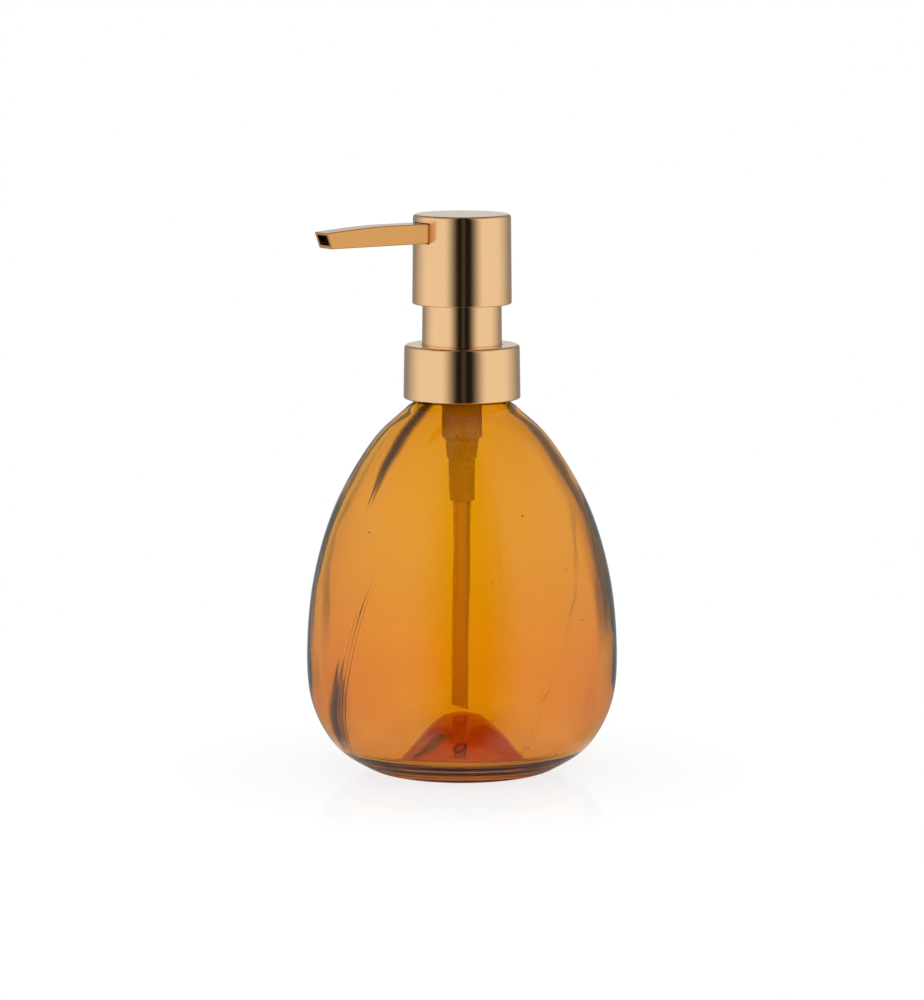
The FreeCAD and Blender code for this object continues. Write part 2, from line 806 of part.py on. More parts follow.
# ---------------------------------------------------------------- all sub-parts
def sub_parts():
    return {
        "glass_bottle": glass_bottle(),
        "neck_gasket": neck_gasket(),
        "closure_liner": closure_liner(),
        "collar_shell": collar_shell(),
        "neck_sleeve": neck_sleeve(),
        "pump_housing": pump_housing(),
        "retainer": retainer(),
        "valve_cage": valve_cage(),
        "inlet_ball": ball(inlet_ball_radius, inlet_ball_z),
        "dip_tube": dip_tube(),
        "return_spring": return_spring(),
        "cup_washer": cup_washer(),
        "piston_seal": piston_seal(),
        "plunger_core": plunger_core(),
        "stem": stem(),
        "outlet_ball": ball(outlet_ball_radius, outlet_ball_z),
        "head_core": head_core(),
        "head_shell": head_shell(),
        "spout": spout(),
        "nozzle_liner": nozzle_liner(),
    }


if __name__ == "__main__":
    os.makedirs("parts", exist_ok=True)
    for name, shape in sub_parts().items():
        export(shape, name)
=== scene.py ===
"""Finishes for the soap pump dispenser: amber glass, copper plating, moulded plastics and steel.

The parts come from the frame and keep their sizes. The glass of the bottle, its seeds and the
return spring are made again here by geometry trees, and every other part keeps its own mesh.
"""

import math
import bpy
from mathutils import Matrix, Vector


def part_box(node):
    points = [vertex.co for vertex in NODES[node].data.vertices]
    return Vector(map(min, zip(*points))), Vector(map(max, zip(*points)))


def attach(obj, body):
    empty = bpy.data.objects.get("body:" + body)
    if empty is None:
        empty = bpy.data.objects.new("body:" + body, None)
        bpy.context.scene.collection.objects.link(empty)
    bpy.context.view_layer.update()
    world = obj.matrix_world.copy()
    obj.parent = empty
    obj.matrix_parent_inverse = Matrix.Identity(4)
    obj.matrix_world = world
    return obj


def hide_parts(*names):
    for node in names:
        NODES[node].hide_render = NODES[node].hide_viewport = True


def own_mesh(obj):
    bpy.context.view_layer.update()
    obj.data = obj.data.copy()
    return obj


bl_info = {
    "name": "Soap Pump Dispenser",
    "version": (1, 0, 0),
    "blender": (4, 5, 0),
    "location": "3D View > Sidebar > Dispenser",
    "description": "Finishes the parts of a glass soap dispenser and sets its studio",
    "category": "Object",
}

import bmesh
import bpy
from mathutils import Vector

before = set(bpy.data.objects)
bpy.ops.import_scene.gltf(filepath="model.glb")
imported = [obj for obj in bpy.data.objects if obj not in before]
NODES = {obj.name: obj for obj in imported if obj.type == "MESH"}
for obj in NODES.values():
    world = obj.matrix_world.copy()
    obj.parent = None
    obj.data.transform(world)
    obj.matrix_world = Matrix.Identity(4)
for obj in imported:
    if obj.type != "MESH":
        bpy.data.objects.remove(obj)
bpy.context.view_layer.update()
MM = 0.001


# ---------------------------------------------------------------- nodes
class Value:
    """A socket that is used in arithmetic. Each operator adds the Math node that it needs."""

    def __init__(self, tree, socket):
        self.tree = tree
        self.socket = socket

    def __add__(self, other):
        return self.tree.math("ADD", self, other)

    def __radd__(self, other):
        return self.tree.math("ADD", other, self)

    def __sub__(self, other):
        return self.tree.math("SUBTRACT", self, other)

    def __rsub__(self, other):
        return self.tree.math("SUBTRACT", other, self)

    def __mul__(self, other):
        return self.tree.math("MULTIPLY", self, other)

    def __rmul__(self, other):
        return self.tree.math("MULTIPLY", other, self)

    def __truediv__(self, other):
        return self.tree.math("DIVIDE", self, other)

    def __rtruediv__(self, other):
        return self.tree.math("DIVIDE", other, self)

    def __mod__(self, other):
        return self.tree.math("FLOORED_MODULO", self, other)

    def __abs__(self):
        return self.tree.math("ABSOLUTE", self)

    def __neg__(self):
        return self.tree.math("MULTIPLY", self, -1.0)


class Tree:
    """A node tree that is being built, for a material, the world or a geometry modifier."""

    def __init__(self, node_tree):
        self.node_tree = node_tree

    def add(self, kind, sockets=None, out=0, **settings):
        """Adds one node, sets its settings, then its sockets, and gives one of its outputs."""
        node = self.node_tree.nodes.new(kind)
        for name, setting in settings.items():
            if name == "stops":
                self.set_stops(node.color_ramp, setting)
            else:
                setattr(node, name, setting)
        for name, value in (sockets or {}).items():
            self.feed(node.inputs[name], value)
        return Value(self, node.outputs[out]) if node.outputs else None

    def feed(self, socket, value):
        if isinstance(value, Value):
            self.node_tree.links.new(value.socket, socket)
        else:
            socket.default_value = value

    @staticmethod
    def set_stops(ramp, stops):
        while len(ramp.elements) < len(stops):
            ramp.elements.new(1.0)
        for element, (position, colour) in zip(ramp.elements, stops):
            element.position = position
            element.color = (*colour, 1.0)

    def math(self, operation, *values):
        return self.add("ShaderNodeMath", dict(enumerate(values)), operation=operation)

    def smooth(self, value, low, high):
        """0 below low, 1 above high and a smooth step between them."""
        sockets = {"Value": value, "From Min": low, "From Max": high}
        return self.add("ShaderNodeMapRange", sockets, interpolation_type="SMOOTHSTEP")

    def limit(self, value, low=0.0, high=1.0):
        return self.math("MINIMUM", self.math("MAXIMUM", value, low), high)

    def split(self, vector):
        """The X, Y and Z of a vector."""
        node = self.add("ShaderNodeSeparateXYZ", {"Vector": vector}).socket.node
        return [Value(self, node.outputs[axis]) for axis in ("X", "Y", "Z")]

    def join(self, x, y, z):
        return self.add("ShaderNodeCombineXYZ", {"X": x, "Y": y, "Z": z})

    def stretch(self, vector, scale):
        """A vector scaled by a different number along each axis."""
        return self.add("ShaderNodeVectorMath", {0: vector, 1: scale}, operation="MULTIPLY")

    def noise(self, vector, scale, detail=2.0, roughness=0.5):
        """Smooth noise between 0 and 1."""
        sockets = {"Vector": vector, "Scale": scale, "Detail": detail, "Roughness": roughness}
        return self.add("ShaderNodeTexNoise", sockets)

    def shade(self, factor, dark, light):
        """A colour between two, by a factor from 0 to 1."""
        return self.add("ShaderNodeValToRGB", {"Fac": factor}, stops=[(0.0, dark), (1.0, light)])


def material_tree(name):
    """A new material with an empty tree, and its tree."""
    material = bpy.data.materials.new(name)
    material.use_nodes = True
    material.node_tree.nodes.clear()
    return material, Tree(material.node_tree)


def finish_material(tree, shader, volume=None):
    sockets = {"Surface": shader}
    if volume:
        sockets["Volume"] = volume
    tree.add("ShaderNodeOutputMaterial", sockets)


def scaled(colour, share):
    """A colour made darker or lighter by a share."""
    return tuple(min(1.0, part * share) for part in colour)


# ---------------------------------------------------------------- sizes and colours
class GlassSettings(bpy.types.PropertyGroup):
    """The bottle's glass."""

    wall: bpy.props.FloatProperty(
        name="Wall", description="Thickness of the glass at the shoulder",
        default=2.2 * MM, unit="LENGTH")
    heel_wall: bpy.props.FloatProperty(
        name="Heel wall", description="Thickness of the glass low on the side, where it gathers",
        default=5.0 * MM, unit="LENGTH")
    unevenness: bpy.props.FloatProperty(
        name="Unevenness", description="How far the inside wanders from a true turned shape",
        default=0.45 * MM, unit="LENGTH")
    segments: bpy.props.IntProperty(
        name="Segments", description="Facets round the bottle", default=216)
    seeds: bpy.props.IntProperty(
        name="Seeds", description="Specks in the glass for each square decimetre", default=4)
    seed_radius: bpy.props.FloatProperty(
        name="Seed radius", description="Radius of a speck in the glass",
        default=0.22 * MM, unit="LENGTH")
    tint: bpy.props.FloatVectorProperty(
        name="Tint", description="Light that is let through by a length of 1 over the density",
        default=(0.955, 0.83, 0.04), subtype="COLOR", min=0.0, max=1.0)
    density: bpy.props.FloatProperty(
        name="Density", description="How strongly the glass absorbs, for each metre", default=700.0)
    stain: bpy.props.FloatVectorProperty(
        name="Stain", description="Colour of the thin stain on the faces of the glass",
        default=(0.955, 0.74, 0.25), subtype="COLOR", min=0.0, max=1.0)
    # Painted shade: the colour of the dark streaks that stand for dark surroundings refracted in the
    # glass.
    shade_streak: bpy.props.FloatVectorProperty(
        name="Streak", description="Colour of the dark cords beside the mould seam",
        default=(0.05, 0.035, 0.06), subtype="COLOR", min=0.0, max=1.0)


class PlatingSettings(bpy.types.PropertyGroup):
    """The copper-coloured plating of the collar, sleeve, head and spout."""

    colour: bpy.props.FloatVectorProperty(
        name="Colour", description="Colour of the plating",
        default=(0.89, 0.565, 0.295), subtype="COLOR", min=0.0, max=1.0)
    # Painted shade: the spout has the same plating as the head, and this darker, deeper copy of its
    # colour stands for the shade on the spout's side.
    spout_shaded_colour: bpy.props.FloatVectorProperty(
        name="Spout colour", description="Colour of the plating on the spout, a little deeper",
        default=(0.70, 0.355, 0.115), subtype="COLOR", min=0.0, max=1.0)
    roughness: bpy.props.FloatProperty(
        name="Roughness", description="Haze of the polished plating", default=0.09)
    orange_peel: bpy.props.FloatProperty(
        name="Orange peel", description="Depth of the faint waves under the plating",
        default=0.004 * MM, unit="LENGTH", precision=6)


class PlasticSettings(bpy.types.PropertyGroup):
    """The moulded and soft plastics inside the pump."""

    white: bpy.props.FloatVectorProperty(
        name="White", description="Colour of the opaque mouldings",
        default=(0.80, 0.80, 0.77), subtype="COLOR", min=0.0, max=1.0)
    natural: bpy.props.FloatVectorProperty(
        name="Natural", description="Colour of the unpigmented housing, cage and dip tube",
        default=(0.97, 0.78, 0.60), subtype="COLOR", min=0.0, max=1.0)
    # Painted shade: the duct in the spout's mouth is given near black for the shadow in the mouth,
    # not for the colour of its own plastic.
    dark: bpy.props.FloatVectorProperty(
        name="Dark", description="Colour of the duct that shows in the mouth of the spout",
        default=(0.045, 0.022, 0.012), subtype="COLOR", min=0.0, max=1.0)
    clearness: bpy.props.FloatProperty(
        name="Clearness", description="How much light the unpigmented mouldings let through",
        default=0.5)
    tube_clearness: bpy.props.FloatProperty(
        name="Tube clearness", description="How much light the thin dip tube lets through",
        default=0.85)
    soft: bpy.props.FloatVectorProperty(
        name="Soft", description="Colour of the gasket and the piston",
        default=(0.70, 0.70, 0.67), subtype="COLOR", min=0.0, max=1.0)
    grain: bpy.props.FloatProperty(
        name="Grain", description="Depth of the mould's texture on the plastic",
        default=0.01 * MM, unit="LENGTH", precision=6)


class SteelSettings(bpy.types.PropertyGroup):
    """The spring's wire and the valve balls."""

    colour: bpy.props.FloatVectorProperty(
        name="Colour", description="Colour of the stainless steel",
        default=(0.56, 0.56, 0.57), subtype="COLOR", min=0.0, max=1.0)
    turns: bpy.props.FloatProperty(
        name="Turns", description="Turns of the spring, closed ends included", default=6.8)
    closed_turns: bpy.props.FloatProperty(
        name="Closed turns", description="Turns that lie flat at each end", default=0.9)
    wire: bpy.props.FloatProperty(
        name="Wire", description="Diameter of the spring's wire", default=0.8 * MM, unit="LENGTH")


class StudioSettings(bpy.types.PropertyGroup):
    """The floor, the light and the camera."""

    azimuth: bpy.props.FloatProperty(
        name="Azimuth", description="Direction of the camera, from straight in front",
        default=math.radians(-33.0), subtype="ANGLE")
    distance: bpy.props.FloatProperty(
        name="Distance", description="Camera to the bottle's axis, along the floor",
        default=1.30, unit="LENGTH")
    height: bpy.props.FloatProperty(
        name="Height", description="Camera above the floor", default=0.255, unit="LENGTH")
    look_height: bpy.props.FloatProperty(
        name="Look height", description="Height on the bottle's axis that the camera looks at",
        default=0.0771, unit="LENGTH")
    lens: bpy.props.FloatProperty(
        name="Lens", description="Focal length in millimetres", default=166.7)
    floor_radius: bpy.props.FloatProperty(
        name="Floor radius", description="Where the floor has faded into the backdrop",
        default=0.30, unit="LENGTH")
    dark_gap: bpy.props.FloatProperty(
        name="Dark gap", description="Half the width of the unlit gap round the camera",
        default=math.radians(30.0), subtype="ANGLE")


# ---------------------------------------------------------------- outlines
class Outline:
    """Points (radius, height) of a turned shape, in metres."""

    def __init__(self):
        self.points = []

    def to(self, radius, height):
        self.points.append((radius, height))
        return self

    def straight(self, radius, height, steps):
        """A straight run in equal steps from the last point."""
        start_radius, start_height = self.points[-1]
        for step in range(1, steps + 1):
            share = step / steps
            self.to(start_radius + (radius - start_radius) * share,
                    start_height + (height - start_height) * share)
        return self

    def corner(self, radius, height, centre_radius, centre_height, steps=8):
        """A round corner from the last point to a new one, about a centre."""
        start_radius, start_height = self.points[-1]
        size = math.hypot(start_radius - centre_radius, start_height - centre_height)
        first = math.atan2(start_height - centre_height, start_radius - centre_radius)
        last = math.atan2(height - centre_height, radius - centre_radius)
        turn = (last - first + math.pi) % (2 * math.pi) - math.pi
        for step in range(1, steps + 1):
            angle = first + turn * step / steps
            self.to(centre_radius + size * math.cos(angle), centre_height + size * math.sin(angle))
        return self

    def through(self, points, steps):
        """A smooth curve from the last point through more points."""
        knots = [self.points[-1]] + points
        before = [(2 * knots[0][i] - knots[1][i]) for i in (0, 1)]
        after = [(2 * knots[-1][i] - knots[-2][i]) for i in (0, 1)]
        knots = [before] + knots + [after]
        for p0, p1, p2, p3 in zip(knots, knots[1:], knots[2:], knots[3:]):
            for step in range(1, steps + 1):
                t = step / steps
                self.to(*(0.5 * (2 * b + (c - a) * t + (2 * a - 5 * b + 4 * c - d) * t * t
                                 + (3 * b - a - 3 * c + d) * t * t * t)
                          for a, b, c, d in zip(p0, p1, p2, p3)))
        return self

    def mesh(self, name):
        mesh = bpy.data.meshes.new(name)
        edges = [(i, i + 1) for i in range(len(self.points) - 1)]
        mesh.from_pydata([(radius, 0.0, height) for radius, height in self.points], edges, [])
        return mesh


# ---------------------------------------------------------------- geometry trees
def geometry_tree(name, inputs):
    """A geometry tree with named inputs, and the sockets that they arrive on."""
    group = bpy.data.node_groups.new(name, "GeometryNodeTree")
    group.interface.new_socket("Geometry", in_out="INPUT", socket_type="NodeSocketGeometry")
    for title, kind in inputs:
        group.interface.new_socket(title, in_out="INPUT", socket_type="NodeSocket" + kind)
    group.interface.new_socket("Geometry", in_out="OUTPUT", socket_type="NodeSocketGeometry")
    tree = Tree(group)
    node = group.nodes.new("NodeGroupInput")
    given = {title: Value(tree, node.outputs[title]) for title, _ in inputs}
    given["Geometry"] = Value(tree, node.outputs["Geometry"])
    return group, tree, given


def end_tree(tree, geometry, material):
    """Realizes what the tree made, gives it its material and ends the tree."""
    real = tree.add("GeometryNodeRealizeInstances", {"Geometry": geometry})
    finished = tree.add("GeometryNodeSetMaterial", {"Geometry": real, "Material": material})
    tree.add("NodeGroupOutput", {"Geometry": finished})


def grown(name, mesh, group, values):
    """A new object with the plain mesh that a geometry tree makes from a starting mesh."""
    source = bpy.data.objects.new(name + "_source", mesh)
    bpy.context.scene.collection.objects.link(source)
    modifier = source.modifiers.new("shape", "NODES")
    modifier.node_group = group
    for item in group.interface.items_tree:
        if item.in_out == "INPUT" and item.name in values:
            modifier[item.identifier] = values[item.name]
    depsgraph = bpy.context.evaluated_depsgraph_get()
    plain = bpy.data.meshes.new_from_object(source.evaluated_get(depsgraph))
    source.modifiers.remove(modifier)
    bpy.data.objects.remove(source)
    plain.name = name
    if not plain.polygons:
        raise RuntimeError(name + " came out empty")
    work = bmesh.new()
    work.from_mesh(plain)
    bmesh.ops.recalc_face_normals(work, faces=work.faces)
    work.to_mesh(plain)
    work.free()
    piece = bpy.data.objects.new(name, plain)
    bpy.context.scene.collection.objects.link(piece)
    return piece


def turned_tree():
    """Turns an outline about Z, with a screw ridge on the neck and an uneven inside."""
    group, tree, given = geometry_tree("Turned glass", [
        ("Segments", "Int"), ("Unevenness", "Float"), ("Calm Height", "Float"),
        ("Inner Row", "Int"), ("Last Inner Row", "Int"),
        ("Neck Radius", "Float"), ("Thread Start", "Float"), ("Thread Lead", "Float"),
        ("Thread Depth", "Float"), ("Thread Base", "Float"), ("Thread Crest", "Float"),
        ("Thread Angle", "Float"), ("Material", "Material")])
    size = tree.add("GeometryNodeAttributeDomainSize", {"Geometry": given["Geometry"]})
    grid = tree.add("GeometryNodeMeshGrid", {
        "Vertices X": given["Segments"] + 1, "Vertices Y": size})
    index = tree.add("GeometryNodeInputIndex")
    row = index % size
    turn = tree.math("FLOOR", (index + 0.5) / size) / given["Segments"]
    place = tree.add("GeometryNodeInputPosition")
    sample = tree.add("GeometryNodeSampleIndex", {
        "Geometry": given["Geometry"], "Value": place, "Index": row}, data_type="FLOAT_VECTOR")
    radius, _, height = tree.split(sample)
    angle = turn * math.tau
    cosine = tree.math("COSINE", angle)
    sine = tree.math("SINE", angle)

    round_thread = (turn - given["Thread Angle"]) % 1.0
    off_ridge = abs(height - given["Thread Start"] - given["Thread Lead"] * round_thread)
    half_base = given["Thread Base"] / 2
    half_crest = given["Thread Crest"] / 2
    ridge = tree.limit((half_base - off_ridge) / (half_base - half_crest))
    run_in = tree.smooth(round_thread, 0.0, 0.03) * (1 - tree.smooth(round_thread, 0.97, 1.0))
    on_neck = tree.math("GREATER_THAN", given["Inner Row"] - 0.5, row)
    ridge = ridge * run_in * on_neck * given["Thread Depth"]
    near_neck = tree.math("COMPARE", radius, given["Neck Radius"], 0.05 * MM)
    ridge = ridge * near_neck

    inside = tree.math("GREATER_THAN", row + 0.5, given["Inner Row"])
    inside = inside * (1 - tree.math("GREATER_THAN", row + 0.5, given["Last Inner Row"]))
    calm = 1 - tree.smooth(height, given["Calm Height"] * 0.8, given["Calm Height"])
    wander = tree.noise(tree.join(radius * cosine, radius * sine, height * 0.45), 34.0, 1.5) - 0.5
    wander = wander * 2 * given["Unevenness"] * inside * calm

    wide = radius + ridge + wander
    position = tree.join(wide * cosine, wide * sine, height)
    shape = tree.add("GeometryNodeSetPosition", {"Geometry": grid, "Position": position})
    closed = tree.add("GeometryNodeMergeByDistance", {"Geometry": shape, "Distance": 0.002 * MM})
    smooth = tree.add("GeometryNodeSetShadeSmooth", {"Geometry": closed})
    end_tree(tree, smooth, given["Material"])
    return group


def seeds_tree():
    """Scatters small balls just under a surface."""
    group, tree, given = geometry_tree("Seeds in the glass", [
        ("Density", "Float"), ("Radius", "Float"), ("Depth", "Float"), ("Seed", "Int"),
        ("Top", "Float"), ("Material", "Material")])
    place = tree.add("GeometryNodeInputPosition")
    height = tree.split(place)[2]
    on_side = tree.math("LESS_THAN", height, given["Top"]) * tree.math("GREATER_THAN", height, 0.02)
    scatter = tree.add("GeometryNodeDistributePointsOnFaces", {
        "Mesh": given["Geometry"], "Selection": on_side,
        "Density": given["Density"], "Seed": given["Seed"]}).socket.node
    points = Value(tree, scatter.outputs["Points"])
    normal = Value(tree, scatter.outputs["Normal"])
    sink = tree.add("ShaderNodeVectorMath", {0: normal, "Scale": -given["Depth"]}, operation="SCALE")
    sunk = tree.add("GeometryNodeSetPosition", {"Geometry": points, "Offset": sink})
    ball = tree.add("GeometryNodeMeshIcoSphere", {"Radius": given["Radius"], "Subdivisions": 2})
    size = tree.add("FunctionNodeRandomValue", {2: 0.6, 3: 1.25}, out=1, data_type="FLOAT")
    placed = tree.add("GeometryNodeInstanceOnPoints", {
        "Points": sunk, "Instance": ball, "Scale": size})
    real = tree.add("GeometryNodeRealizeInstances", {"Geometry": placed})
    smooth = tree.add("GeometryNodeSetShadeSmooth", {"Geometry": real})
    end_tree(tree, smooth, given["Material"])
    return group


def spring_tree():
    """Winds a wire into a compression spring with a closed coil at each end."""
    group, tree, given = geometry_tree("Wound spring", [
        ("Turns", "Float"), ("Closed Turns", "Float"), ("Radius", "Float"), ("Wire", "Float"),
        ("Bottom", "Float"), ("Top", "Float"), ("Material", "Material")])
    line = tree.add("GeometryNodeCurvePrimitiveLine")
    fine = tree.add("GeometryNodeResampleCurve", {
        "Curve": line, "Count": tree.math("ROUND", given["Turns"] * 40)})
    share = tree.add("GeometryNodeSplineParameter")
    turn = share * given["Turns"]
    closed = given["Closed Turns"]
    low = given["Bottom"] + given["Wire"] / 2
    high = given["Top"] - given["Wire"] / 2
    pitch = given["Wire"] * 1.05
    open_low = low + closed * pitch
    open_high = high - closed * pitch
    rise = (open_high - open_low) / (given["Turns"] - closed * 2)
    rising = open_low + tree.limit(turn - closed, 0.0, given["Turns"] - closed * 2) * rise
    flat_low = tree.math("MINIMUM", turn - closed, 0.0) * pitch
    flat_high = tree.math("MAXIMUM", turn - (given["Turns"] - closed), 0.0) * pitch
    angle = turn * math.tau
    position = tree.join(given["Radius"] * tree.math("COSINE", angle),
                         given["Radius"] * tree.math("SINE", angle),
                         rising + flat_low + flat_high)
    coil = tree.add("GeometryNodeSetPosition", {"Geometry": fine, "Position": position})
    section = tree.add("GeometryNodeCurvePrimitiveCircle", {
        "Resolution": 14, "Radius": given["Wire"] / 2})
    wire = tree.add("GeometryNodeCurveToMesh", {
        "Curve": coil, "Profile Curve": section, "Fill Caps": True})
    smooth = tree.add("GeometryNodeSetShadeSmooth", {"Geometry": wire})
    end_tree(tree, smooth, given["Material"])
    return group


# ---------------------------------------------------------------- materials
def amber_glass(glass):
    """Clear amber glass, coloured through its depth, with ripples, mould seams and painted shade:
    dark streaks on one side that stand for dark surroundings refracted in the glass.
    """
    material, tree = material_tree("amber_glass")
    place = tree.add("ShaderNodeTexCoord", out="Object")
    x, y, z = tree.split(place)
    cords = tree.noise(tree.stretch(place, (1.0, 1.0, 0.25)), 60.0, 2.0)
    ripple = tree.noise(place, 220.0, 1.0)
    rings = tree.noise(tree.stretch(place, (0.12, 0.12, 2.2)), 150.0, 2.0)
    across = x * math.cos(SEAM_ANGLE) + y * math.sin(SEAM_ANGLE)
    drift = (SEAM_LEVEL - z) * SEAM_LEAN - SEAM_SHIFT
    seam = 1 - tree.smooth(abs(abs(across - drift) - SEAM_HALF_GAP), 0.1 * MM, 0.45 * MM)
    seam = seam * (1 - tree.smooth(z, 66.0 * MM, 80.0 * MM))
    height = cords * 0.14 * MM + ripple * 0.006 * MM + rings * 0.012 * MM + seam * SEAM_HEIGHT
    bump = tree.add("ShaderNodeBump", {"Height": height, "Strength": 1.0, "Distance": 1.0})
    roughness = 0.005 + tree.noise(place, 90.0, 3.0) * 0.02

    # Painted shade: the dark streaks go on one side of the bottle only, in a band at the shoulder
    # and one at the heel.
    shade_streak_side = tree.math("LESS_THAN", x * math.sin(SEAM_ANGLE) - y * math.cos(SEAM_ANGLE), 0.0)
    shoulder = tree.smooth(z, 76.0 * MM, 94.0 * MM)
    heel = tree.smooth(z, 6.0 * MM, 14.0 * MM) * (1 - tree.smooth(z, 20.0 * MM, 38.0 * MM))
    width = shoulder * SHOULDER_SHADE_STREAK + heel * HEEL_SHADE_STREAK
    low = 1 - tree.smooth(z, 45.0 * MM, 70.0 * MM)
    waver = (tree.noise(tree.join(0.0, 0.0, z), 55.0, 1.0) - 0.5) * SHADE_STREAK_WAVER
    waver = waver + low * (drift + SHADE_STREAK_OFFSET)
    shade_streak = 1 - tree.smooth(abs(across - waver), width * 0.2, width + 0.01 * MM)
    colour = tree.shade(shade_streak * shade_streak_side, tuple(glass.stain), tuple(glass.shade_streak))
    shader = tree.add("ShaderNodeBsdfPrincipled", {
        "Base Color": colour, "Roughness": roughness, "IOR": 1.5,
        "Transmission Weight": 1.0, "Normal": bump})
    volume = tree.add("ShaderNodeVolumeAbsorption", {
        "Color": (*glass.tint, 1.0), "Density": glass.density})
    finish_material(tree, shader, volume)
    return material


def seed_material():
    """The dark specks in the glass."""
    material, tree = material_tree("glass_seed")
    place = tree.add("ShaderNodeTexCoord", out="Object")
    mottle = tree.noise(place, 4000.0, 2.0)
    colour = tree.shade(mottle, (0.02, 0.008, 0.003), (0.07, 0.03, 0.012))
    shader = tree.add("ShaderNodeBsdfPrincipled", {"Base Color": colour, "Roughness": 0.45})
    finish_material(tree, shader)
    return material


def copper_plating(name, colour, plating):
    """Polished copper-coloured plating: faint orange peel, haze and handling marks."""
    material, tree = material_tree(name)
    place = tree.add("ShaderNodeTexCoord", out="Object")
    cloud = tree.noise(place, 45.0, 3.0)
    colour = tree.shade(cloud, scaled(colour, 0.96), scaled(colour, 1.03))
    haze = tree.noise(tree.stretch(place, (1.0, 1.0, 0.4)), 130.0, 4.0, 0.6)
    marks = tree.smooth(tree.noise(place, 420.0, 2.0), 0.62, 0.78)
    roughness = plating.roughness + (haze - 0.5) * 0.05 + marks * 0.03
    peel = tree.noise(place, 900.0, 1.0) * plating.orange_peel
    fine = tree.noise(place, 5000.0, 2.0) * plating.orange_peel * 0.1
    bump = tree.add("ShaderNodeBump", {"Height": peel + fine, "Strength": 1.0, "Distance": 1.0})
    shader = tree.add("ShaderNodeBsdfPrincipled", {
        "Base Color": colour, "Metallic": 1.0, "Roughness": roughness, "Normal": bump})
    finish_material(tree, shader)
    return material


def moulded_plastic(name, colour, grain, roughness, soak=0.0, clearness=0.0):
    """Moulded plastic: flow marks, a fine grain and a little light under its surface."""
    material, tree = material_tree(name)
    place = tree.add("ShaderNodeTexCoord", out="Object")
    flow = tree.noise(tree.stretch(place, (1.0, 1.0, 0.3)), 110.0, 4.0, 0.55)
    shade = tree.shade(flow, scaled(colour, 0.93), scaled(colour, 1.04))
    speckle = tree.noise(place, 1500.0, 3.0)
    bump_height = speckle * grain + flow * grain * 3
    bump = tree.add("ShaderNodeBump", {"Height": bump_height, "Strength": 1.0, "Distance": 1.0})
    shader = tree.add("ShaderNodeBsdfPrincipled", {
        "Base Color": shade, "Roughness": roughness + (speckle - 0.5) * 0.15, "Normal": bump,
        "Subsurface Weight": soak, "Subsurface Radius": (1.0, 0.9, 0.8),
        "Subsurface Scale": 0.8 * MM, "Transmission Weight": clearness, "IOR": 1.4})
    finish_material(tree, shader)
    return material


def foamed_gasket(colour, grain):
    """The gasket's soft closed-cell foam."""
    material, tree = material_tree("foamed_gasket")
    place = tree.add("ShaderNodeTexCoord", out="Object")
    cells = tree.add("ShaderNodeTexVoronoi", {"Vector": place, "Scale": 2600.0}, out="Distance")
    shade = tree.shade(cells, scaled(colour, 1.03), scaled(colour, 0.86))
    bump = tree.add("ShaderNodeBump", {
        "Height": cells * grain * -3, "Strength": 1.0, "Distance": 1.0})
    shader = tree.add("ShaderNodeBsdfPrincipled", {
        "Base Color": shade, "Roughness": 0.7 + cells * 0.1, "Normal": bump})
    finish_material(tree, shader)
    return material


def stainless_steel(name, colour, roughness, drawn):
    """Stainless steel, with the fine lines of drawing on wire and none on a ball."""
    material, tree = material_tree(name)
    place = tree.add("ShaderNodeTexCoord", out="Object")
    lines = tree.noise(tree.stretch(place, (1.0, 1.0, drawn)), 1800.0, 3.0)
    shade = tree.shade(lines, scaled(colour, 0.9), scaled(colour, 1.08))
    bump = tree.add("ShaderNodeBump", {
        "Height": lines * 0.003 * MM, "Strength": 1.0, "Distance": 1.0})
    shader = tree.add("ShaderNodeBsdfPrincipled", {
        "Base Color": shade, "Metallic": 1.0, "Roughness": roughness + (lines - 0.5) * 0.1,
        "Normal": bump})
    finish_material(tree, shader)
    return material


def give(material, *names):
    """Gives frame parts one material."""
    for name in names:
        mesh = NODES[name].data
        mesh.materials.clear()
        mesh.materials.append(material)


# ---------------------------------------------------------------- the bottle
# The egg: shares of its largest radius and of the height to the foot of its neck.
EGG = [(0.625, 0.014), (0.833, 0.075), (0.973, 0.189), (1.0, 0.337), (0.952, 0.528),
       (0.814, 0.717), (0.577, 0.887), (0.348, 0.981)]
# The hollow underneath: shares of the standing ring's inner radius and of the hollow's height.
PUNT = [(0.05, 0.998), (0.33, 0.91), (0.62, 0.65), (0.86, 0.3)]
# The floor inside, its faint rings and its dome: shares of the egg's radius and of the dome's rise.
FLOOR = [(0.62, 0.06), (0.60, 0.065), (0.58, 0.02), (0.545, 0.0), (0.53, 0.03), (0.505, 0.0),
         (0.488, 0.04), (0.46, 0.03), (0.43, 0.07), (0.395, 0.19), (0.35, 0.38), (0.30, 0.56),
         (0.24, 0.73), (0.16, 0.89), (0.07, 0.98), (0.0, 1.0)]
# Where the wall bends into the floor: share of the egg's radius and height above the floor.
BEND = [(0.785, 5.2 * MM), (0.67, 1.5 * MM)]
CURVE_STEPS = 12        # rows between two points of the egg, inside and outside
NECK_HEIGHT = 10.3 * MM
NECK_RADIUS = 12.55 * MM
NECK_BORE = 10.1 * MM
RIM_ROUND = 0.8 * MM
RING_OUTER = 22.5 * MM
RING_INNER = 18.5 * MM
PUNT_HEIGHT = 9.0 * MM
DOME_HEIGHT = 15.0 * MM
FLOOR_HEIGHT = 4.5 * MM
THREAD = {"Thread Start": 3.1 * MM, "Thread Lead": 4.23 * MM, "Thread Depth": 1.2 * MM,
          "Thread Base": 2.2 * MM, "Thread Crest": 1.0 * MM, "Thread Angle": 50.0 / 360.0}

